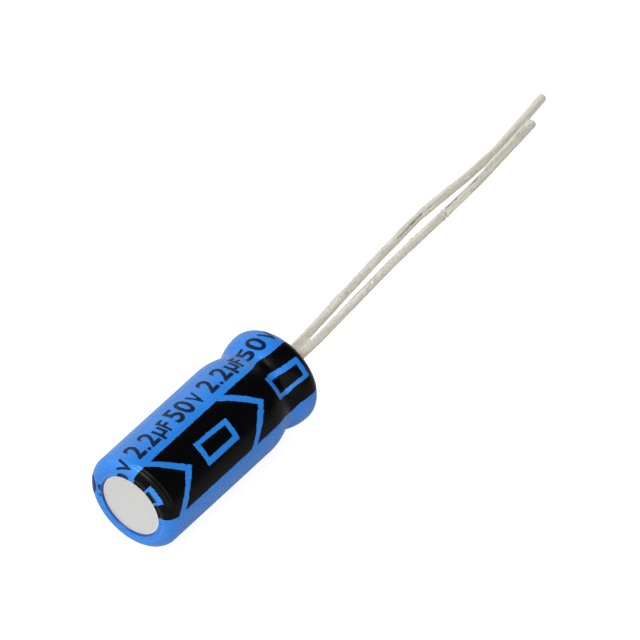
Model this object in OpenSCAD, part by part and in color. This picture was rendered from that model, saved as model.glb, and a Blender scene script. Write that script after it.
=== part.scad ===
// Radial aluminium electrolytic capacitor, lying on its side with both leads as they were bent.
// Millimetres. The can's axis runs along X: x = 0 is the seating plane, where the body ends and
// the leads leave, the closed end of the can points to -X, and +Z is up.

/* [Can] */
// Outside diameter of the bare can
can_d = 5; // [4.6:0.1:5.6]
// Length of the bare can, from its closed end to its curled rim
can_len = 11.4; // [11:0.1:14]
// Thickness of the aluminium
can_wall = 0.25; // [0.2:0.01:0.3]
// Outside radius of the corner round the closed end
end_r = 0.48; // [0.4:0.02:0.6]
// Outside radius of the curl at the open end
curl_r = 0.6; // [0.5:0.05:0.7]
// Diameter of the opening that the curled rim leaves over the rubber
rim_hole_d = 2.9; // [2.7:0.1:3.1]

/* [Groove] */
// Distance from the curled rim to the middle of the groove
groove_back = 2; // [1.8:0.05:2.2]
// Depth of the groove
groove_depth = 0.33; // [0.25:0.01:0.36]
// Radius of the roller that pressed the groove
groove_r = 0.7; // [0.6:0.05:0.8]
// Radius of the shoulder that leads from the body into the groove
body_shoulder_r = 3.2; // [2.8:0.1:3.4]
// Radius of the shoulder between the groove and the rim
rim_shoulder_r = 2.3; // [1.9:0.1:2.4]

/* [Sleeve] */
// Thickness of the shrunk plastic sleeve
sleeve_t = 0.1; // [0.07:0.01:0.14]
// Diameter of the bare disc that the sleeve leaves open on the closed end
disc_d = 3.44; // [3.2:0.04:3.52]
// Thickness of the sleeve's rolled edge round that disc
lip_t = 0.18; // [0.14:0.01:0.22]
// Diameter of the sleeve's opening on the seating plane
seat_hole_d = 3.1; // [2.9:0.05:3.3]

/* [Polarity print] */
// Thickness of the ink
ink_t = 0.02; // [0.01:0.005:0.03]
// Angle that the dark stripe covers round the can
stripe_angle = 68; // [50:1:80]
// Distance from one arrow to the next
mark_pitch = 5.54; // [5.2:0.02:5.8]
// Distance from the seating plane to the tip of the nearest arrow
first_arrow = 3.5; // [3.2:0.1:4]
// Slope of the arrow's arms
arrow_angle = 44; // [35:1:55]
// Width of the arrow's line, along the can
arrow_w = 0.52; // [0.3:0.02:0.6]
// Distance from an arrow's tip to the middle of the minus sign next to it
minus_ahead = 1.98; // [1.8:0.02:2.1]
// Length of the minus sign
minus_len = 2.42; // [2:0.02:2.6]
// Width of the minus sign
minus_w = 1.42; // [1.1:0.02:1.6]
// Width of the line that draws the minus sign
minus_line = 0.34; // [0.2:0.02:0.4]

/* [Rubber seal] */
// Height of the rubber, from the curl inwards
seal_h = 2.4; // [2.2:0.1:2.8]
// Height of the pad that bulges into the rim's opening
pad_h = 0.15; // [0.1:0.01:0.2]
// Gap between the pad and the rim
pad_gap = 0.1; // [0.06:0.02:0.2]

/* [Winding] */
// Gap between the winding and the can's wall
winding_gap = 0.2; // [0.1:0.05:0.3]
// Diameter of the hole that the winding pin leaves
core_d = 0.6; // [0.4:0.05:0.8]
// Gap between the winding and the closed end
end_gap = 0.15; // [0.1:0.05:0.4]
// Gap between the seal and the winding, where the tabs show
tab_gap = 1.25; // [1.1:0.05:1.5]
// Thickness of the tape that holds the winding closed
tape_t = 0.05; // [0.03:0.01:0.07]
// Width of that tape
tape_w = 3; // [2:0.1:4]

/* [Tabs] */
// Diameter of the round shank that passes through the seal
shank_d = 0.9; // [0.8:0.02:1]
// Length of the taper from the shank to the flat of the tab
neck_len = 0.8; // [0.6:0.05:1]
// Width of the flat of the tab
tab_w = 1.2; // [1:0.05:1.4]
// Thickness of the flat of the tab
tab_t = 0.2; // [0.15:0.01:0.25]
// Length of the flat that lies between the turns
tab_len = 4.8; // [4:0.1:5.5]
// Clearance round the flat
tab_clear = 0.02; // [0.01:0.01:0.04]

/* [Leads] */
// Diameter of the tinned wire
lead_d = 0.45; // [0.4:0.01:0.55]
// Distance between the two leads at the seating plane
lead_pitch = 2; // [1.9:0.05:2.1]
// Depth of the weld below the seating plane
weld_depth = 0.9; // [0.7:0.05:1.1]
// Clearance between the wire and its hole in the rubber
lead_clear = 0.06; // [0.03:0.01:0.1]
// Straight length before the first bend
lead_straight = 0.7; // [0.5:0.1:1.2]
// Reach of the anode lead from the seating plane
anode_reach = 25; // [24:0.1:28]
// Reach of the cathode lead from the seating plane
cathode_reach = 21.7; // [20:0.1:24]
// Radius of the gentle bends, to the middle of the wire
bend_r = 4; // [2:0.5:6]

/* [Hidden] */
$fn = 40;
eps = 0.01;
bend_swell = 0.004;
bend_lap = 0.03;

// Direction of the stripe and of the cathode lead, from +Y towards +Z
stripe_up = 135;
can_r = can_d / 2;
lead_r = lead_d / 2;
rim_z = -sleeve_t;
end_z = rim_z - can_len;
groove_z = rim_z - groove_back;
inner_rim_z = rim_z - can_wall;
winding_d = can_d - 2 * (can_wall + winding_gap);
seal_z = inner_rim_z - seal_h;
winding_z = seal_z - tab_gap;
winding_end_z = end_z + can_wall + end_gap;
shank_end_z = winding_z + neck_len;
floor_z = -can_r - sleeve_t;

// Where each lead leaves the seal, across the can's axis
lead_y = lead_pitch / 2 * cos(stripe_up);
lead_z = lead_pitch / 2 * sin(stripe_up);

// The leads were bent by hand. Each point is [reach, shift sideways, shift in height] from the
// lead's own place in the seal; the anode lead ends with its tip on the surface underneath.
ANODE_BENDS = [[9.4, 0.74, -0.22], [13.4, 1.15, -0.52], [17.4, 1.22, -1.02], [20.2, 1.46, -1.4]];
ANODE_TIP_SHIFT = 2.14;
CATHODE_BENDS = [[2.2, 0.11, -0.02], [8.6, 0.58, -0.27], [12, 0.79, -0.53], [16.4, 1.17, -0.92]];
CATHODE_TIP_SHIFT = [1.8, -1.36];

anode_route = concat(
    [[-weld_depth, -lead_y, -lead_z], [lead_straight, -lead_y, -lead_z]],
    [for (b = ANODE_BENDS) [b[0], b[1] - lead_y, b[2] - lead_z]],
    [[anode_reach, ANODE_TIP_SHIFT - lead_y, floor_z + lead_r]]);
cathode_route = concat(
    [[-weld_depth, lead_y, lead_z], [lead_straight, lead_y, lead_z]],
    [for (b = CATHODE_BENDS) [b[0], b[1] + lead_y, b[2] + lead_z]],
    [[cathode_reach, CATHODE_TIP_SHIFT[0] + lead_y, CATHODE_TIP_SHIFT[1] + lead_z]]);

function unit(v) = v / norm(v);
function turn(route, i) =
    acos(unit(route[i] - route[i - 1]) * unit(route[i + 1] - route[i]));
// Length that the bend at one point takes from the straights on either side of it
function trim(route, i) =
    i == 0 || i == len(route) - 1 ? 0 : bend_r * tan(turn(route, i) / 2);

// Lays the upright can, whose seating plane is z = 0 and whose stripe faces +X, on its side
module lay_down() {
    rotate([0, 90, 0]) rotate([0, 0, stripe_up + 90]) children();
}

// Half section of what a shoulder and its half of the groove take away, on the side of the
// groove where "side" is 1 towards the rim and -1 towards the closed end
module shoulder(out, radius, side) {
    r = can_r + out;
    centres = groove_r + radius;
    half = side * sqrt(pow(centres, 2) - pow(centres - groove_depth, 2));
    touch = (radius + out) / centres;
    touch_r = can_r - radius + touch * (centres - groove_depth);
    difference() {
        polygon([
            [touch_r, groove_z - side * eps],
            [touch_r, groove_z + half * (1 - touch)],
            [r, groove_z + half],
            [r + groove_r, groove_z + half],
            [r + groove_r, groove_z - side * eps]
        ]);
        translate([can_r - radius, groove_z + half]) circle(radius + out);
    }
}

// Half section of everything inside the can's outer surface moved outwards by "out"
module skin(out) {
    r = can_r + out;
    low = end_z - out;
    high = rim_z + out;
    difference() {
        union() {
            translate([0, low]) square([can_r - end_r, high - low]);
            translate([0, end_z + end_r]) square([r, rim_z - curl_r - end_z - end_r]);
            translate([can_r - end_r, end_z + end_r]) circle(end_r + out);
            translate([can_r - curl_r, rim_z - curl_r]) circle(curl_r + out);
            translate([0, rim_z - curl_r]) square([can_r - curl_r, curl_r + out]);
        }
        translate([can_r + groove_r - groove_depth, groove_z]) circle(groove_r - out);
        shoulder(out, body_shoulder_r, -1);
        shoulder(out, rim_shoulder_r, 1);
    }
}

// The printed film, shrunk on over the groove and turned in over both ends. It is turned up from
// the top, so that what it rests on is the middle of a facet once it is meshed
module sleeve() {
    color([0.16, 0.45, 0.86])
        lay_down() rotate([0, 0, 90 - stripe_up])
            rotate_extrude() {
                difference() {
                    skin(sleeve_t);
                    skin(0);
                    translate([0, end_z - can_len / 2]) square([disc_d / 2 + lip_t / 2, can_len]);
                    translate([0, rim_z - eps]) square([seat_hole_d / 2, can_len]);
                }
                translate([disc_d / 2 + lip_t / 2, end_z - lip_t / 2]) circle(lip_t / 2);
            }
}

module arrow() {
    reach = can_r;
    drop = reach * tan(arrow_angle);
    polygon([
        [0, 0], [reach, -drop], [reach, -drop - arrow_w],
        [0, -arrow_w], [-reach, -drop - arrow_w], [-reach, -drop]
    ]);
}

module minus_sign() {
    difference() {
        square([minus_w, minus_len], center = true);
        square([minus_w - 2 * minus_line, minus_len - 2 * minus_line], center = true);
    }
}

// Everything printed light inside the dark stripe, as pushed outwards through the ink
module marks() {
    rotate([90, 0, 90])
        linear_extrude(can_d) {
            for (z = [-first_arrow : -mark_pitch : end_z])
                translate([0, z]) arrow();
            for (z = [-first_arrow : -mark_pitch : end_z - mark_pitch])
                translate([0, z + minus_ahead]) minus_sign();
        }
}

module polarity_print() {
    color([0.06, 0.06, 0.07])
        lay_down()
            difference() {
                rotate([0, 0, -stripe_angle / 2])
                    rotate_extrude(angle = stripe_angle)
                        difference() {
                            skin(sleeve_t + ink_t);
                            skin(sleeve_t);
                            translate([0, end_z - can_len / 2]) square([disc_d / 2 + lip_t, can_len]);
                            translate([0, rim_z]) square([can_d, can_len]);
                        }
                marks();
            }
}

// Deep-drawn cup, grooved onto the rubber and curled in over it
module can() {
    color([0.82, 0.82, 0.8])
        lay_down()
            rotate_extrude()
                difference() {
                    skin(0);
                    skin(-can_wall);
                    translate([0, rim_z - 2 * can_wall]) square([rim_hole_d / 2, 4 * can_wall]);
                }
}

module at_each_lead() {
    for (side = [-1, 1])
        translate([side * lead_pitch / 2, 0, 0]) children();
}

// Rubber bung, waisted by the groove, with a stepped hole for each tab and its wire
module seal() {
    color([0.12, 0.12, 0.13])
        lay_down()
            difference() {
                union() {
                    rotate_extrude()
                        intersection() {
                            skin(-can_wall);
                            translate([0, seal_z]) square([can_d, seal_h]);
                        }
                    translate([0, 0, inner_rim_z - eps])
                        cylinder(h = pad_h + eps, d = rim_hole_d - 2 * pad_gap);
                }
                at_each_lead() {
                    translate([0, 0, seal_z - eps])
                        cylinder(h = -weld_depth - seal_z + eps, d = shank_d);
                    translate([0, 0, -weld_depth - eps])
                        cylinder(h = weld_depth, d = lead_d + 2 * lead_clear);
                }
            }
}

// Flat of a tab, grown by "grow" all round and lengthened by "extra"
module tab_flat(grow, extra) {
    translate([-tab_t / 2 - grow, -tab_w / 2 - grow, winding_z - tab_len - extra])
        cube([tab_t + 2 * grow, tab_w + 2 * grow, tab_len + extra]);
}

// Anode foil, cathode foil and two papers rolled together, with a slot where each tab lies
module winding() {
    color([0.72, 0.66, 0.55])
        lay_down()
            difference() {
                translate([0, 0, winding_end_z])
                    cylinder(h = winding_z - winding_end_z, d = winding_d);
                translate([0, 0, winding_end_z - eps])
                    cylinder(h = winding_z - winding_end_z + 2 * eps, d = core_d);
                at_each_lead() {
                    tab_flat(tab_clear, tab_clear);
                    translate([0, 0, tab_clear]) tab_flat(tab_clear, 0);
                }
            }
}

module winding_tape() {
    color([0.85, 0.72, 0.35])
        lay_down()
            translate([0, 0, (winding_z + winding_end_z - tape_w) / 2])
                difference() {
                    cylinder(h = tape_w, d = winding_d + 2 * tape_t);
                    translate([0, 0, -eps]) cylinder(h = tape_w + 2 * eps, d = winding_d);
                }
}

// Aluminium tab: a round shank, pressed flat where it is stitched to its foil
module tab() {
    shank_r = shank_d / 2;
    translate([0, 0, shank_end_z])
        cylinder(h = -weld_depth - shank_end_z, d = shank_d);
    intersection() {
        translate([0, 0, winding_z]) cylinder(h = neck_len, d = shank_d);
        rotate([90, 0, 0])
            translate([0, 0, -shank_r])
                linear_extrude(shank_d)
                    polygon([
                        [-tab_t / 2, winding_z], [tab_t / 2, winding_z],
                        [shank_r, shank_end_z], [-shank_r, shank_end_z]
                    ]);
    }
    tab_flat(0, 0);
}

module cathode_tab() {
    color([0.78, 0.78, 0.76])
        lay_down() translate([lead_pitch / 2, 0, 0]) tab();
}

module anode_tab() {
    color([0.78, 0.78, 0.76])
        lay_down() translate([-lead_pitch / 2, 0, 0]) tab();
}

// Straight stretch of wire that runs a little way into the bends at its ends
module stretch(route, i) {
    along = unit(route[i + 1] - route[i]);
    start = max(0, trim(route, i) - bend_lap);
    end = max(0, trim(route, i + 1) - bend_lap);
    translate(route[i] + along * start)
        rotate([0, acos(along[2]), atan2(along[1], along[0])])
            cylinder(h = norm(route[i + 1] - route[i]) - start - end, r = lead_r);
}

// Arc of wire at one point of a route, a hair thicker than the straights that it joins
module bend(route, i) {
    along = unit(route[i] - route[i - 1]);
    hinge = unit(cross(along, route[i + 1] - route[i]));
    inward = cross(hinge, along);
    centre = route[i] - along * trim(route, i) + inward * bend_r;
    multmatrix([
        [-inward[0], along[0], hinge[0], centre[0]],
        [-inward[1], along[1], hinge[1], centre[1]],
        [-inward[2], along[2], hinge[2], centre[2]],
        [0, 0, 0, 1]
    ])
        rotate_extrude(angle = turn(route, i))
            translate([bend_r, 0]) circle(lead_r + bend_swell);
}

module wire(route) {
    for (i = [0 : len(route) - 2]) stretch(route, i);
    for (i = [1 : len(route) - 2]) bend(route, i);
}

module anode_lead() {
    color([0.76, 0.76, 0.72]) wire(anode_route);
}

module cathode_lead() {
    color([0.76, 0.76, 0.72]) wire(cathode_route);
}

sleeve();
polarity_print();
can();
seal();
winding();
winding_tape();
anode_tab();
cathode_tab();
anode_lead();
cathode_lead();
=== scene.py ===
import math
import bmesh
import bpy
from mathutils import Matrix, Vector, noise


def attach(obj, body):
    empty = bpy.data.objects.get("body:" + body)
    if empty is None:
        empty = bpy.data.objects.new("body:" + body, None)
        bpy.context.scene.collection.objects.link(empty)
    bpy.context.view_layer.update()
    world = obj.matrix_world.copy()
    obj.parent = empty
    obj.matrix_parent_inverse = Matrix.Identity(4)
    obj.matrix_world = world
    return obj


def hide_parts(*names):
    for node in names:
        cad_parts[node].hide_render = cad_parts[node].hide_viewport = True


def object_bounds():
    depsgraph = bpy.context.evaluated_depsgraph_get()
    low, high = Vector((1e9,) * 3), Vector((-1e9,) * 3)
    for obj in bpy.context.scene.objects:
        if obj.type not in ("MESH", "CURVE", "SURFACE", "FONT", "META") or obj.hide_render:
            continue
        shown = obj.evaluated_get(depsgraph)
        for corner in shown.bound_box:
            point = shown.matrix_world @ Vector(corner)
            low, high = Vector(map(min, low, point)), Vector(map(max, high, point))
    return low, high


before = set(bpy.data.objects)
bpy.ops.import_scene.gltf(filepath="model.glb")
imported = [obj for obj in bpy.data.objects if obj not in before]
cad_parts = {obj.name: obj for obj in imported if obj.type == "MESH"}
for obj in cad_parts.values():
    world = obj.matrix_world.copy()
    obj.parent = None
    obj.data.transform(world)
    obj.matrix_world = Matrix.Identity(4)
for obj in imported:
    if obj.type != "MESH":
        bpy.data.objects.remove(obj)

cad_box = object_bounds()
MM = 0.001

# ---- Camera and studio ----
# A longish lens looks down on the part as it lies on a white table.
# The table keeps the soft shadow, and the light comes from two diffusers and the room.


def feed(socket, value):
    """Links a Field to a socket, or sets a plain value on it."""
    if isinstance(value, Field):
        socket.id_data.links.new(value.socket, socket)
    else:
        socket.default_value = value


class Field:
    """A number, colour or vector that varies over a surface."""

    def __init__(self, socket):
        self.socket = socket

    def math(self, operation, *others):
        node = self.socket.id_data.nodes.new("ShaderNodeMath")
        node.operation = operation
        for socket, value in zip(node.inputs, (self,) + others):
            feed(socket, value)
        return Field(node.outputs[0])

    def __add__(self, other):
        return self.math("ADD", other)

    def __radd__(self, other):
        return self.math("ADD", other)

    def __sub__(self, other):
        return self.math("SUBTRACT", other)

    def __rsub__(self, other):
        return self.math("MULTIPLY_ADD", -1.0, other)

    def __mul__(self, other):
        return self.math("MULTIPLY", other)

    def __rmul__(self, other):
        return self.math("MULTIPLY", other)

    def __gt__(self, other):
        return self.math("GREATER_THAN", other)

    def __lt__(self, other):
        return self.math("LESS_THAN", other)


class Nodes:
    """Adds nodes to one node tree."""

    def __init__(self, tree):
        self.tree = tree

    def node(self, kind, settings, output, *links, **values):
        """A node with its settings, then its sockets in order or by name; returns one output."""
        node = self.tree.nodes.new(kind)
        for name, value in settings.items():
            setattr(node, name, value)
        for socket, value in zip(node.inputs, links):
            feed(socket, value)
        for name, value in values.items():
            feed(node.inputs[name.replace("_", " ")], value)
        return Field(node.outputs[output])

    def place(self, kind="Object", scale=(1.0, 1.0, 1.0)):
        start = self.node("ShaderNodeTexCoord", {}, kind)
        return self.node("ShaderNodeMapping", {}, "Vector", Vector=start, Scale=scale)

    def part(self, where, axis):
        return self.node("ShaderNodeSeparateXYZ", {}, axis, Vector=where)

    def from_axis(self, where):
        """Distance from the can's axis."""
        across, up = self.part(where, "Y"), self.part(where, "Z")
        return (across * across + up * up).math("SQRT")

    def noise(self, where, size, detail=2.0, roughness=0.5):
        return self.node("ShaderNodeTexNoise", {}, "Fac", Vector=where,
                         Scale=1.0 / size, Detail=detail, Roughness=roughness)

    def spread(self, value, low, high, to_low=0.0, to_high=1.0):
        return self.node("ShaderNodeMapRange", {"clamp": True}, "Result", Value=value,
                         From_Min=low, From_Max=high, To_Min=to_low, To_Max=to_high)

    def blend(self, amount, first, second):
        node = self.tree.nodes.new("ShaderNodeMix")
        node.data_type = "RGBA"
        feed(node.inputs["Factor"], amount)
        for socket, value in ((node.inputs[6], first), (node.inputs[7], second)):
            feed(socket, value if isinstance(value, Field) else (*value, 1.0))
        return Field(node.outputs[2])


class Finish(Nodes):
    """A material whose shader takes plain values, and Fields for what varies."""

    def __init__(self, name, color, roughness, **values):
        self.material = bpy.data.materials.new(name)
        self.material.use_nodes = True
        super().__init__(self.material.node_tree)
        self.shader = self.tree.nodes["Principled BSDF"]
        self.set(Base_Color=(*color, 1.0), Roughness=roughness, **values)

    def set(self, **values):
        for name, value in values.items():
            feed(self.shader.inputs[name.replace("_", " ")], value)

    def bump(self, height, depth):
        normal = self.node("ShaderNodeBump", {}, "Normal", Height=height,
                           Distance=depth, Strength=1.0)
        self.set(Normal=normal)


def linear(red, green, blue):
    """Linear colour of an sRGB colour given from 0 to 255."""
    parts = [c / 255 for c in (red, green, blue)]
    return tuple(c / 12.92 if c <= 0.04045 else ((c + 0.055) / 1.055) ** 2.4 for c in parts)


def mesh_piece(name, verts, faces, material):
    mesh = bpy.data.meshes.new(name)
    mesh.from_pydata([tuple(v) for v in verts], [], faces)
    mesh.validate()
    mesh.polygons.foreach_set("use_smooth", [True] * len(mesh.polygons))
    piece = bpy.data.objects.new(name, mesh)
    bpy.context.scene.collection.objects.link(piece)
    mesh.materials.append(material)
    return piece


scene = bpy.context.scene
scene.view_settings.view_transform = "Standard"

aim = Vector((2.5, -0.488, 1.669)) * MM
toward = Vector((-0.55755, -0.43282, 0.70838)).normalized()
camera_distance = 450
camera_data = bpy.data.cameras.new("camera")
camera_data.sensor_width = 36
camera_data.lens = 525.67
camera_data.clip_start = 0.01
camera_data.clip_end = 20
camera = bpy.data.objects.new("camera", camera_data)
camera.location = aim + toward * camera_distance * MM
camera.rotation_mode = "QUATERNION"
camera.rotation_quaternion = toward.to_track_quat("Z", "Y")
scene.collection.objects.link(camera)
scene.camera = camera

floor_height = cad_box[0][2]
table_half = 0.6
table_glow = 0.84
mirrored_glow = 0.12
table = Finish("white_table", linear(192, 192, 192), 0.9)
by_eye, by_gloss, by_glass = [table.node("ShaderNodeLightPath", {}, kind) for kind in
                              ("Is Camera Ray", "Is Glossy Ray", "Is Transmission Ray")]
lit = Field(table.shader.outputs[0])
glow = table.node("ShaderNodeEmission", {}, "Emission", Strength=table_glow)
glowing = table.node("ShaderNodeAddShader", {}, 0, lit, glow)
glow_share = by_eye + (by_gloss + by_glass) * mirrored_glow
white = table.node("ShaderNodeMixShader", {}, 0, glow_share, lit, glowing)
feed(table.tree.nodes["Material Output"].inputs["Surface"], white)
table_corners = [(x * table_half, y * table_half, floor_height)
                 for x, y in ((-1, -1), (1, -1), (1, 1), (-1, 1))]
floor = mesh_piece("floor", table_corners, [(0, 1, 2, 3)], table.material)

world = bpy.data.worlds.new("room")
scene.world = world
world.use_nodes = True
room = Nodes(world.node_tree)
outward = room.node("ShaderNodeTexCoord", {}, "Generated")
front_wall = room.spread(room.part(outward, "X"), 0.1, -0.5)
back_wall = room.spread(room.part(outward, "Y"), 0.0, 0.45) * room.spread(
    room.part(outward, "Z"), 0.8, 0.45)
seen = room.node("ShaderNodeLightPath", {}, "Is Camera Ray")
front_light = 0.4
back_light = 0.85
room_light = 0.07
bright = front_wall * front_light + back_wall * back_light + room_light
bright = bright.math("MAXIMUM", seen)
background = room.tree.nodes["Background"].inputs
background["Color"].default_value = (1, 1, 1, 1)
feed(background["Strength"], bright)


def lamp(name, place, along, size, power):
    """A soft oval lamp aimed at the part, its long side turned towards along."""
    data = bpy.data.lights.new(name, "AREA")
    data.shape = "ELLIPSE"
    data.size, data.size_y = size
    data.energy = power
    piece = bpy.data.objects.new(name, data)
    away = Vector(place).normalized()
    side = (Vector(along) - away * away.dot(Vector(along))).normalized()
    turned = Matrix((side, away.cross(side), away)).transposed().to_4x4()
    turned.translation = Vector(place)
    piece.matrix_world = turned
    scene.collection.objects.link(piece)


lamp("strip_diffuser", (-0.247, 0.015, 0.422), (0, 0.853, 0.521), (0.36, 0.26), 1.72)
lamp("front_diffuser", (-0.2, -0.45, 0.16), (1, -1, 0), (0.85, 0.68), 1.42)

# ---- Sleeve ----
# Printed PVC film, shrunk over the can while warm: it follows the rolled groove and is
# drawn in over both ends, where its cut edge curls into a small bead round the bare metal.

# Sizes in mm. The section is the can's outside, a film's thickness further out.
can_r = 2.5
film_t = 0.1
end_x = -11.5
rim_x = -0.1
end_r = 0.48
curl_r = 0.6
groove_x = -2.1
groove_r = 0.7
body_shoulder_r = 3.2
rim_shoulder_r = 2.3
groove_depth = 0.33
disc_r = 1.72
lip_r = 0.045
lip_lean = 0.05
seat_hole_r = 1.55
stripe_turn = 135.0
around = 180


def arc(x, r, radius, start, end, count):
    """Points on an arc in the (x, radius) plane, angles from +x towards outwards."""
    turns = [math.radians(start + (end - start) * i / count) for i in range(count + 1)]
    return [(x + radius * math.cos(t), r + radius * math.sin(t)) for t in turns]


def skin(out):
    """Half section of the can's outside moved outwards by out, from the closed end on."""
    floor_r = can_r + groove_r - groove_depth
    points = arc(end_x + end_r, can_r - end_r, end_r + out, 180, 90, 44)
    for side, radius in ((-1, body_shoulder_r), (1, rim_shoulder_r)):
        reach = groove_r + radius
        across = math.sqrt(reach ** 2 - (reach - groove_depth) ** 2)
        lean = math.degrees(math.asin(across / reach))
        if side < 0:
            straight = groove_x - across - (end_x + end_r)
            points += [(end_x + end_r + straight * i / 40, can_r + out) for i in range(1, 40)]
            points += arc(groove_x - across, can_r - radius, radius + out, 90, 90 - lean, 20)
            points += arc(groove_x, floor_r, groove_r - out, 270 - lean, 270, 12)[1:]
        else:
            points += arc(groove_x, floor_r, groove_r - out, 270, 270 + lean, 12)[1:]
            points += arc(groove_x + across, can_r - radius, radius + out, 90 + lean, 90, 20)[1:]
    points += arc(rim_x - curl_r, can_r - curl_r, curl_r + out, 90, 0, 24)
    return points


flat = can_r - end_r - disc_r - lip_r
outside = [(end_x - film_t, disc_r + lip_r + flat * i / 8) for i in range(8)]
outside += skin(film_t) + [(rim_x + film_t, seat_hole_r)]
run = [0.0]
for (x0, r0), (x1, r1) in zip(outside, outside[1:]):
    run.append(run[-1] + math.hypot(x1 - x0, r1 - r0))
shift = next(run[i] for i, p in enumerate(outside) if abs(p[0] - (end_x + end_r)) < 1e-6)
wall_starts = 0.66
run = [r - shift + wall_starts for r in run]


def bump_at(value, middle, width):
    return math.exp(-((value - middle) / width) ** 2)


def between(value, low, high, ramp):
    """1 between low and high, falling to 0 over ramp on both sides."""
    inside = min((value - low) / ramp, (high - value) / ramp) + 1
    return min(max(inside, 0.0), 1.0)


# The film's uneven places at the closed end, in mm along it and degrees round it.
sunk_ring = (-0.38, -0.32)
sunk_depth = 0.03
crease_turns = (-36, 8)
crease_at = 0.47
crease_lean = 0.0012
crease_depth = 0.02
ridge_height = 0.012
ridge_off = 0.11


def pucker(along, turn):
    """Height of the film's small uneven places: a sunk ring, and a crease with a ridge."""
    middle = crease_at + crease_lean * (turn + 10)
    ridge = ridge_height * bump_at(along, middle + ridge_off, 0.06)
    crease = ridge - crease_depth * bump_at(along, middle, 0.04)
    held = between(turn, *crease_turns, 10)
    return held * crease - sunk_depth * between(along, *sunk_ring, 0.08)


def film_point(along, turn, lift=0.0):
    """Point on the film: along it from the closed end, turn in degrees from the stripe's middle."""
    last = len(run) - 1
    i = next((k for k in range(1, last) if run[k] >= along), last)
    share = (along - run[i - 1]) / max(run[i] - run[i - 1], 1e-9)
    (x0, r0), (x1, r1) = outside[i - 1], outside[i]
    length = math.hypot(x1 - x0, r1 - r0) or 1.0
    lift += pucker(along, turn)
    x = x0 + (x1 - x0) * share - (r1 - r0) / length * lift
    r = r0 + (r1 - r0) * share + (x1 - x0) / length * lift
    angle = math.radians(stripe_turn + turn)
    return Vector((x, r * math.cos(angle), r * math.sin(angle))) * MM


# How the shrink moved the print, in degrees round the can and mm along the film. The turns
# below 0 are the side of the stripe that the first row of figures is on.
stripe_half_turn = 34.0
groove_at = 9.66
figure_side_push = 5.0
far_side_push = 7.0
push_fades = 45
closed_end_push = 2.5
slack_from = 10.0
slack_turn = 60
figure_side_slack = 0.05


def print_turn(along, turn):
    """Where the shrink left a printed point: wider in the groove, slacker past it by the figures."""
    size = abs(turn)
    outside_stripe = max(0.0, size - stripe_half_turn)
    held = min(size / stripe_half_turn, 1.0) * max(0.0, 1.0 - outside_stripe / push_fades)
    groove_half = 0.48 if along < groove_at else 0.4
    push = far_side_push if turn > 0 else figure_side_push
    push *= bump_at(along, groove_at, groove_half)
    if turn > 0:
        return turn + held * push
    push += closed_end_push * between(along, -1.0, -0.1, 0.5)
    behind = min(max(along - slack_from, 0.0), 1.0)
    behind *= max(0.0, 1.0 - max(0.0, size - slack_turn) / slack_turn)
    return turn - (held * push - behind * figure_side_slack * size)


def revolve(name, section, count, material):
    """Closed ring of quads: the section turned once round the can's axis."""
    verts = []
    for k in range(count):
        angle = 2 * math.pi * k / count
        across, up = math.cos(angle), math.sin(angle)
        verts += [Vector((x, r * across, r * up)) * MM for x, r in section]
    n = len(section)
    faces = []
    for k in range(count):
        for i in range(n):
            a, b = k * n + i, k * n + (i + 1) % n
            c, d = ((k + 1) % count) * n + (i + 1) % n, ((k + 1) % count) * n + i
            faces.append((a, b, c, d))
    return mesh_piece(name, verts, faces, material)


film = Finish("blue_film", linear(46, 126, 214), 0.3, IOR=1.45, Specular_IOR_Level=0.45)
where = film.place()
cloud = film.noise(where, 2.2 * MM, 3.0)
blue = film.blend(film.spread(cloud, 0.35, 0.65), linear(36, 124, 217), linear(44, 131, 222))
# The film's cut edge round the disc is painted dark blue: partly the thick edge's own deeper colour,
# partly painted shade in the recess between the bead and the disc.
cut_edge_and_shade = film.spread(film.from_axis(where), (disc_r + 0.015) * MM, (disc_r + 0.035) * MM,
                       1.0, 0.0)
cut_edge_and_shade = cut_edge_and_shade * (film.part(where, "X") < end_x / 2 * MM)
film.set(Base_Color=film.blend(cut_edge_and_shade, blue, linear(18, 66, 140)))
grain = film.noise(where, 0.12 * MM, 3.0)
film.set(Roughness=film.spread(grain, 0.3, 0.7, 0.22, 0.3))
film.bump(grain * 0.08 + cloud, 0.01 * MM)

lip = arc(end_x - film_t + lip_r, disc_r + lip_r, lip_r, 250, 180, 8)
inside = [(rim_x, seat_hole_r)] + [p for p in reversed(skin(0.0))]
section = [(end_x, disc_r - lip_lean)] + lip[:-1] + outside + inside
sleeve = revolve("sleeve_film", section, around, film.material)
skin_from = len(lip)
uneven_to = 0.9
for k in range(around):
    turn = (k * 360 / around - stripe_turn + 180) % 360 - 180
    for i in range(len(outside)):
        if run[i] < uneven_to:
            vertex = sleeve.data.vertices[k * len(section) + skin_from + i]
            vertex.co = film_point(run[i], turn)
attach(sleeve, "root")
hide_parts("sleeve")

# ---- Print ----
# Black and dark ink rolled onto the flat tube before it was shrunk: a polarity stripe
# with arrows and hollow minus signs left open, and rows of plain rating figures.

film_r = can_r + film_t
film_end = run[-1]
ink_lift = 0.012
print_start = run[0] + 0.01
figures_end = film_end - 1.0
# Fine cuts across the crease and its ridge, so that the ink follows them.
crease_cuts = [0.36 + 0.02 * k for k in range(14)]


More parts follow.
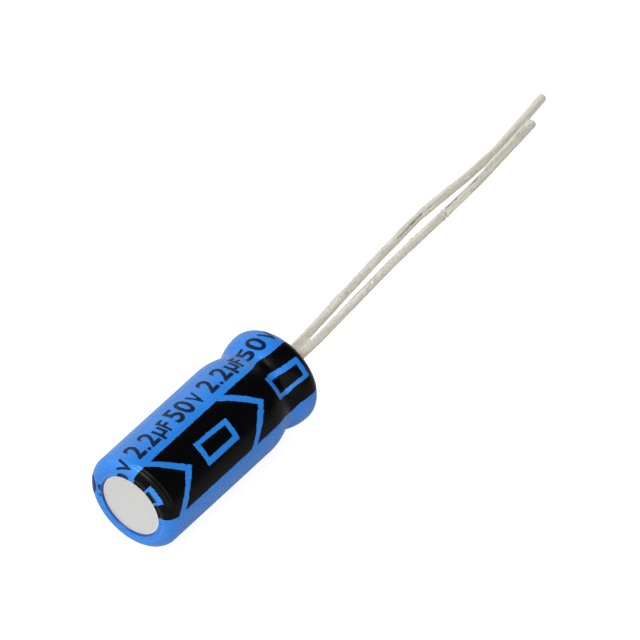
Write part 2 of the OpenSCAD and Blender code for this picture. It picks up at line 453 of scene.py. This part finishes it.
def inked(name, polygons, step, wobble, material):
    """Lays flat polygons, in mm along and across the film, onto the sleeve.

    They are cut every step, more finely at the crease, and wobble makes their edges ragged."""
    sheet = bmesh.new()
    for polygon in polygons:
        sheet.faces.new([sheet.verts.new((a, c, 0)) for a, c in polygon])
    for axis in (0, 1):
        marks = [v.co[axis] for v in sheet.verts]
        first, last = min(marks), max(marks)
        cuts = [k * step for k in range(math.floor(first / step), math.ceil(last / step) + 1)]
        if axis == 0:
            cuts += crease_cuts
        for cut in cuts:
            place, normal = Vector((0, 0, 0)), Vector((0, 0, 0))
            place[axis], normal[axis] = cut, 1.0
            everything = sheet.verts[:] + sheet.edges[:] + sheet.faces[:]
            bmesh.ops.bisect_plane(sheet, geom=everything, plane_co=place, plane_no=normal)
    bmesh.ops.remove_doubles(sheet, verts=sheet.verts[:], dist=1e-5)
    moved = {}
    for v in sheet.verts:
        rims = [e.other_vert(v).co for e in v.link_edges if e.is_boundary]
        if len(rims) == 2:
            way = (rims[1] - rims[0]).normalized()
            outwards = Vector((-way.y, way.x)) if way.x > 0 else Vector((way.y, -way.x))
            tooth = 1 if (round(v.co[0] / step) + round(v.co[1] / step)) % 2 else -1
            rough = noise.noise((v.co[0] * 6, v.co[1] * 6, 3)) * 1.4
            moved[v] = outwards * wobble * (tooth * 0.8 + rough)
    for v in sheet.verts:
        a, c = v.co[0], v.co[1]
        if v in moved:
            a, c = a + moved[v].x, c + moved[v].y
        turn = -math.degrees(c / film_r)
        v.co = film_point(min(max(a, run[0]), film_end), print_turn(a, turn), ink_lift)
    bmesh.ops.recalc_face_normals(sheet, faces=sheet.faces[:])
    mesh = bpy.data.meshes.new(name)
    sheet.to_mesh(mesh)
    sheet.free()
    mesh.polygons.foreach_set("use_smooth", [True] * len(mesh.polygons))
    mesh.materials.append(material)
    piece = bpy.data.objects.new(name, mesh)
    scene.collection.objects.link(piece)
    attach(piece, "root")
    return piece


stripe_half = film_r * math.radians(stripe_half_turn)
stripe_mid = film_r * math.radians(0.3)
arrow_mid = film_r * math.radians(2.2)
arrow_pitch = 5.54
first_tip = 2.6
upper_slant = 1.03
lower_slant = 0.89
arrow_line = 0.47
sign_line = 0.31
stripe_end = film_end - 0.12


def arrow_edge(tip, across):
    """Where an arrow's slanting side is, along the film, at a place across it."""
    return tip - abs(across - arrow_mid) * (upper_slant if across > arrow_mid else lower_slant)


def clip(polygon, low, high):
    """The part of a polygon between two places along the film."""
    for limit, side in ((low, 1), (high, -1)):
        kept = []
        for (a0, c0), (a1, c1) in zip(polygon, polygon[1:] + polygon[:1]):
            if (a0 - limit) * side >= 0:
                kept.append((a0, c0))
            if (a0 - limit) * (a1 - limit) < 0:
                kept.append((limit, c0 + (c1 - c0) * (limit - a0) / (a1 - a0)))
        polygon = kept
        if not polygon:
            return []
    return polygon


# Each sign as the shrink left it: from, to, then the lower side and the upper side at both
# ends, of the open frame and of the black inside it.
SIGNS = [(0.79, 3.09, (-0.5, 0.66, 0.66), (-0.3, 0.49, 0.49)),
         (0.79, 3.18, (-0.555, 0.775, 0.675), (-0.215, 0.525, 0.425)),
         (0.9, 3.1, (-0.57, 0.76, 0.6), (-0.34, 0.415, 0.29))]
stripe_parts = []
for k, (sign_from, sign_to, frame_sides, inner_sides) in enumerate(SIGNS, -1):
    back = first_tip + k * arrow_pitch
    front = back + arrow_pitch - arrow_line
    box_from = back + sign_from
    box_to = back + sign_to
    low, high_from, high_to = frame_sides
    for side, corners in ((-1, [(box_from, low), (box_to, low)]),
                          (1, [(box_from, high_from), (box_to, high_to)])):
        edge = stripe_mid + side * stripe_half
        stripe_parts.append([(arrow_edge(back, edge), edge), (back, arrow_mid),
                             (box_from, arrow_mid), *corners, (box_to, arrow_mid),
                             (front, arrow_mid), (arrow_edge(front, edge), edge)])
    low, high_from, high_to = inner_sides
    stripe_parts.append([(box_from + sign_line, low), (box_to - sign_line, low),
                         (box_to - sign_line, high_to), (box_from + sign_line, high_from)])
stripe_parts = [clip(p, print_start, stripe_end) for p in stripe_parts]
stripe_parts = [p for p in stripe_parts if len(p) > 2]

black_ink = Finish("black_ink", linear(3, 4, 7), 0.3, IOR=1.19)
where = black_ink.place()
grain = black_ink.noise(where, 0.12 * MM, 3.0)
black_ink.set(Base_Color=black_ink.blend(grain, linear(1, 2, 4), linear(9, 9, 10)),
              Roughness=black_ink.spread(grain, 0.3, 0.7, 0.2, 0.32))
black_ink.bump(grain, 0.003 * MM)
stripe = inked("polarity_stripe", stripe_parts, step=0.07, wobble=0.02,
               material=black_ink.material)
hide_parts("polarity_print")

navy_ink = Finish("navy_ink", linear(8, 18, 42), 0.35, IOR=1.3)
speckle = navy_ink.noise(navy_ink.place(), 0.08 * MM, 2.0)
navy_ink.set(Base_Color=navy_ink.blend(navy_ink.spread(speckle, 0.35, 0.7), linear(5, 12, 30),
                                       linear(14, 34, 76)))


figure_weight = 0.022


def glyph(letter, start, end, low, high):
    """A letter's outline as flat polygons filling a box, along and across the film in mm."""
    text = bpy.data.curves.new("glyph", "FONT")
    text.body = letter
    text.offset = figure_weight
    text.resolution_u = 6
    holder = bpy.data.objects.new("glyph", text)
    scene.collection.objects.link(holder)
    bpy.context.view_layer.update()
    finished = holder.evaluated_get(bpy.context.evaluated_depsgraph_get())
    shape = bpy.data.meshes.new_from_object(finished)
    points = [v.co.copy() for v in shape.vertices]
    faces = [list(p.vertices) for p in shape.polygons]
    bpy.data.objects.remove(holder)
    bpy.data.curves.remove(text)
    bpy.data.meshes.remove(shape)
    xs, ys = [p.x for p in points], [p.y for p in points]
    wide, tall = max(xs) - min(xs), max(ys) - min(ys)
    spots = [(start + (p.x - min(xs)) / wide * (end - start),
              low + (p.y - min(ys)) / tall * (high - low)) for p in points]
    return [[spots[i] for i in face] for face in faces]


# Each figure: its start and end along the film, its foot and its head across it.
FIGURES = [("2", 0.84, 1.48, 0.04, 1.22), (".", 1.60, 1.79, 0.04, 0.24),
           ("2", 1.88, 2.53, 0.04, 1.22), ("µ", 2.63, 3.14, -0.08, 0.82),
           ("F", 3.22, 3.62, 0.06, 1.06), ("5", 3.87, 4.50, 0.02, 1.24),
           ("0", 4.60, 5.26, 0.02, 1.24), ("V", 5.40, 5.98, 0.02, 1.0)]
figure_pitch = 5.53
# Each row: degrees from the stripe's middle, its shift along the film, its first repeat.
ROWS = [(43, 0.0, -1), (121, 0.72, -1), (-147, -0.25, 0)]
figures = []
for turned, slip, first_repeat in ROWS:
    row = film_r * math.radians(turned)
    for k in range(first_repeat, 2):
        begin = slip + k * figure_pitch
        for letter, start, end, low, high in FIGURES:
            figures += glyph(letter, start + begin, end + begin, row + low, row + high)
figures = [clip(p, print_start, figures_end) for p in figures]
figures = [p for p in figures if len(p) > 2]
inked("rating_figures", figures, step=0.08, wobble=0.008, material=navy_ink.material)

# ---- Can ----
# Deep-drawn aluminium cup, rolled inwards at the groove and curled over the rubber.
# Its closed end shows as a flat matt disc inside the film's bead, with a painted highlight at the
# very edge.

aluminium = Finish("drawn_aluminium", linear(206, 205, 202), 0.42, Metallic=0.85)
where = aluminium.place()
fine = aluminium.noise(where, 0.05 * MM, 4.0, 0.6)
wide = aluminium.noise(where, 0.9 * MM, 2.0)
# A thin white ring at the disc's edge is a painted highlight.
painted_edge_highlight = aluminium.spread(aluminium.from_axis(where), (disc_r - 0.13) * MM,
                             (disc_r - 0.09) * MM)
matt = aluminium.blend(wide, linear(232, 231, 227), linear(238, 237, 233))
aluminium.set(Base_Color=aluminium.blend(painted_edge_highlight, matt, linear(255, 255, 255)),
              Roughness=aluminium.spread(fine, 0.3, 0.7, 0.42, 0.55))
aluminium.bump(fine + wide * 0.5, 0.002 * MM)

# ---- Seal, winding, tape and tabs ----
# Hidden inside: black butyl rubber, beige capacitor paper with foil, yellow tape and
# aluminium tabs stitched to the foils.

rubber = Finish("butyl_rubber", linear(38, 38, 40), 0.7)
where = rubber.place()
grit = rubber.noise(where, 0.1 * MM, 4.0)
rubber.set(Base_Color=rubber.blend(grit, linear(30, 30, 32), linear(52, 52, 54)),
           Roughness=rubber.spread(grit, 0.3, 0.7, 0.6, 0.8))
rubber.bump(grit, 0.01 * MM)

paper = Finish("wound_paper", linear(196, 178, 146), 0.8)
where = paper.place()
fibre = paper.noise(where, 0.2 * MM, 5.0, 0.7)
turns = paper.node("ShaderNodeTexWave", {"wave_type": "RINGS", "rings_direction": "X"}, "Fac",
                   Vector=where, Scale=1.0 / (1.4 * MM), Distortion=0.6)
paper.set(Base_Color=paper.blend(turns * 0.6 + fibre * 0.4, linear(168, 150, 120),
                                 linear(212, 198, 168)),
          Roughness=paper.spread(fibre, 0.3, 0.7, 0.7, 0.9))
paper.bump(fibre + turns * 0.5, 0.01 * MM)

tape = Finish("polyester_tape", linear(214, 178, 84), 0.35)
ripple = tape.noise(tape.place(), 0.6 * MM, 3.0)
tape.set(Base_Color=tape.blend(ripple, linear(204, 166, 74), linear(226, 194, 104)),
         Roughness=tape.spread(ripple, 0.3, 0.7, 0.3, 0.45))
tape.bump(ripple, 0.01 * MM)

tab = Finish("pressed_aluminium", linear(200, 200, 198), 0.35, Metallic=1.0)
brushed = tab.noise(tab.place(scale=(0.15, 1.0, 1.0)), 0.05 * MM, 3.0)
tab.set(Base_Color=tab.blend(brushed, linear(186, 186, 184), linear(216, 216, 213)),
        Roughness=tab.spread(brushed, 0.3, 0.7, 0.28, 0.45))
tab.bump(brushed, 0.003 * MM)

for name, finish in (("can", aluminium), ("seal", rubber), ("winding", paper),
                     ("winding_tape", tape), ("anode_tab", tab), ("cathode_tab", tab)):
    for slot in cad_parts[name].material_slots:
        slot.material = finish.material

# ---- Leads ----
# Copper-clad steel wire, 0.45 mm thick, with a thick matt tin coat, butt-welded to the tab
# inside the rubber, then bent and nicked by hand: the coat is lumpy and scraped.

lead_r = 0.225
bend_r = 4.0
point_gap = 0.06
# The coat's plain radius and its long and short waves, as shares of the wire's radius.
plain_coat = 0.985
long_waves = 0.05
short_waves = 0.045
crimp_depth = 0.11
# The relief that the finish paints shade and highlight from: its value where the coat is plain, and
# its rise per mm.
relief_plain = 0.5
relief_rise = 5
lead_y = math.cos(math.radians(stripe_turn))
lead_z = math.sin(math.radians(stripe_turn))
# Each point: reach past the seating face, then the shift from the wire's own place in the seal.
# The anode wire's end lies on the table.
on_table = lead_r - film_r
ANODE = [(-0.9, 0, 0), (0.5, 0.032, 0.019), (3.2, 0.108, 0.057), (9.4, 0.753, -0.212),
         (13.4, 1.15, -0.52), (17.4, 1.26, -0.995), (20.2, 1.475, -1.39),
         (25.0, 2.14, on_table + lead_z)]
CATHODE = [(-0.9, 0, 0), (0.7, 0.048, 0.03), (2.4, 0.106, -0.025), (8.6, 0.598, -0.263),
           (12.0, 0.8, -0.525), (16.4, 1.135, -0.945), (21.7, 1.775, -1.375)]


def rounded(route, radius):
    """The route's straights joined by arcs, as closely spaced points."""
    points = [route[0]]
    for before, corner, after in zip(route, route[1:], route[2:]):
        into, out = (corner - before).normalized(), (after - corner).normalized()
        cut = radius * math.tan(into.angle(out) / 2)
        start, end = corner - into * cut, corner + out * cut
        for k in range(9):
            t = k / 8
            points.append(start * (1 - t) ** 2 + corner * 2 * t * (1 - t) + end * t ** 2)
    points.append(route[-1])
    even = [points[0]]
    for a, b in zip(points, points[1:]):
        count = max(1, round((b - a).length / point_gap))
        even += [a.lerp(b, k / count) for k in range(1, count + 1)]
    return even


def relief(marks, gone, turn):
    """How far the coat stands out at a place on the wire, in mm: dents, scores and lumps."""
    total = 0.0
    for start, end, middle, spread, height in marks:
        off = (turn - middle + 180) % 360 - 180
        ramp = min(0.15, 0.3 * (end - start))
        broken = 1.0 + 0.9 * noise.noise((gone * 2.6, middle, 0)) if spread < 15 else 1.0
        total += height * broken * between(gone, start, end, ramp) * bump_at(off, 0, spread)
    return total


def wire(name, route, seed, marks, crimped, tip_length, material):
    """A wire along the route with its dents, scores and lumps, and its closed or cut end."""
    centres = rounded([Vector(p) for p in route], bend_r)
    verts, faces, uvs, heights = [], [], [], []
    sides = 40
    up = Vector((0, 0, 1))
    gone = 0.0
    total = sum((b - a).length for a, b in zip(centres, centres[1:]))
    for i, centre in enumerate(centres):
        if i:
            gone += (centre - centres[i - 1]).length
        ahead = (centres[min(i + 1, len(centres) - 1)] - centres[max(i - 1, 0)]).normalized()
        side = ahead.cross(up).normalized()
        top = side.cross(ahead)
        left = total - gone
        close = min(1.0, math.sqrt(max(0.0, 1 - (1 - min(left, tip_length) / tip_length) ** 2)))
        for k in range(sides):
            angle = 2 * math.pi * k / sides
            round_x, round_y = math.cos(angle), math.sin(angle)
            slow = noise.noise((gone * 0.9, round_x * 0.7, seed + round_y * 0.7))
            quick = noise.noise((gone * 4.5, round_x * 2.2, seed + 9 + round_y * 2.2))
            crumpled = noise.noise((gone * 9.0, round_x * 3.0, seed + 19 + round_y * 3.0))
            height = relief(marks, gone, math.degrees(angle))
            if crimped:
                height += crimp_depth * crumpled * between(gone, *crimped, 0.12)
            radius = lead_r * (plain_coat + long_waves * slow + short_waves * quick) + height
            radius *= max(close, 0.02)
            verts.append((centre + (side * round_x + top * round_y) * radius) * MM)
            uvs.append((gone, k / sides))
            heights.append(relief_plain + relief_rise * height)
    for i in range(len(centres) - 1):
        for k in range(sides):
            a, b = i * sides + k, i * sides + (k + 1) % sides
            faces.append((a, b, b + sides, a + sides))
    faces.append(tuple(range(sides))[::-1])
    faces.append(tuple(range(len(verts) - sides, len(verts))))
    piece = mesh_piece(name, verts, faces, material)
    layer = piece.data.uv_layers.new(name="along")
    for polygon in piece.data.polygons:
        wraps = any(piece.data.loops[i].vertex_index % sides == sides - 1
                    for i in polygon.loop_indices)
        for i in polygon.loop_indices:
            gone, share = uvs[piece.data.loops[i].vertex_index]
            layer.data[i].uv = (gone, share + (1.0 if wraps and share < 0.25 else 0.0))
    relief_for_painted_shade = piece.data.color_attributes.new(name="relief", type="FLOAT_COLOR", domain="POINT")
    for i, height in enumerate(heights):
        relief_for_painted_shade.data[i].color = (height, height, height, 1.0)
    return piece


tin = Finish("matt_tin", linear(206, 203, 190), 0.45, Metallic=0.12)
where = tin.place()
unrolled = tin.node("ShaderNodeTexCoord", {}, "UV")
drawn = tin.node("ShaderNodeMapping", {}, "Vector", Vector=unrolled, Scale=(0.35, 7.0, 1.0))
streak = tin.noise(drawn, 1.0, 4.0, 0.6)
blotch = tin.noise(where, 0.5 * MM, 3.0)
pits = tin.noise(where, 0.08 * MM, 3.0)
height = tin.node("ShaderNodeAttribute", {"attribute_name": "relief"}, "Fac")
# Round the wire, one side is painted whiter and the other creamier: painted light and shade, broken
# up by random blotches of tone.
round_the_wire = ((tin.part(unrolled, "Y") - 0.41) * (2 * math.pi)).math("COSINE")
painted_side_and_blotch = tin.spread(round_the_wire * 0.5 + (blotch - 0.5) * 3.0, -0.5, 0.5)
coat = tin.blend(painted_side_and_blotch, linear(236, 233, 212), linear(240, 240, 238))
coat = tin.blend(tin.spread(streak * 0.5 + pits * 0.5, 0.42, 0.6), linear(206, 202, 186), coat)
# The coat is painted dark in its dents and scores: painted shade in the hollows, and a painted shadow
# along the scores that draw a dark line down a wire's upper edge and between the wires at their foot.
coat = tin.blend(tin.spread(height, 0.45, 0.2) * 0.8, coat, linear(116, 112, 98))
# Its lumps are painted light cream: a painted highlight.
coat = tin.blend(tin.spread(height, 0.6, 0.72), coat, linear(246, 242, 226))
copper = tin.spread(tin.part(unrolled, "X"), 2.0, 1.6) * 0.35
tin.set(Base_Color=tin.blend(copper, coat, linear(222, 176, 140)),
        Roughness=tin.spread(pits, 0.3, 0.7, 0.35, 0.55))
tin.bump(streak * 0.8 + pits * 0.3 + blotch * 0.3, 0.03 * MM)

# Each mark on a wire: from, to, its middle round the wire, its half width, its height.
ANODE_MARKS = [(0.0, 6.5, 0, 900, 0.012), (1.4, 2.9, -18, 9, -0.035),
               (2.8, 3.9, -31, 45, 0.06), (2.0, 5.6, 62, 11, -0.025),
               (6.6, 7.1, 150, 32, 0.055), (7.45, 7.6, 42, 18, -0.045), (9.45, 9.6, 50, 14, -0.04),
               (8.4, 11.6, 112, 11, -0.025), (12.3, 13.2, 52, 13, -0.05), (13.3, 14.5, 56, 13, -0.06),
               (14.8, 16.6, 62, 12, -0.03), (12.6, 13.7, 152, 36, 0.035),
               (14.6, 17.2, 148, 36, 0.05), (18.0, 24.5, 35, 12, -0.02)]
CATHODE_MARKS = [(1.2, 2.5, 149, 40, 0.035), (1.6, 5.4, 118, 11, -0.03), (5.6, 10.4, 120, 11, -0.04),
                 (7.0, 7.1, 52, 14, 0.07), (7.7, 7.85, 66, 14, 0.07), (8.3, 8.6, 70, 10, 0.06),
                 (11.42, 11.6, 150, 20, 0.09), (11.95, 12.05, 150, 16, 0.05),
                 (10.75, 10.9, -30, 20, -0.05), (14.5, 15.4, 100, 13, -0.06),
                 (15.4, 17.4, 97, 12, -0.04), (14.4, 16.3, 25, 45, 0.035),
                 (16.6, 17.1, -8, 12, -0.05), (17.5, 22.4, 76, 10, -0.03),
                 (16.8, 22.1, 110, 11, -0.045), (18.5, 24.0, 150, 30, 0.045)]
for name, node, route, sign, seed, marks, crimped, tip in (
        ("anode_wire", "anode_lead", ANODE, -1, 3.0, ANODE_MARKS, None, 0.18),
        ("cathode_wire", "cathode_lead", CATHODE, 1, 11.0, CATHODE_MARKS, (13.75, 14.5), 0.03)):
    placed = [(x, sign * lead_y + y, sign * lead_z + z) for x, y, z in route]
    piece = wire(name, placed, seed, marks, crimped, tip, tin.material)
    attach(piece, "root")
    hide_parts(node)
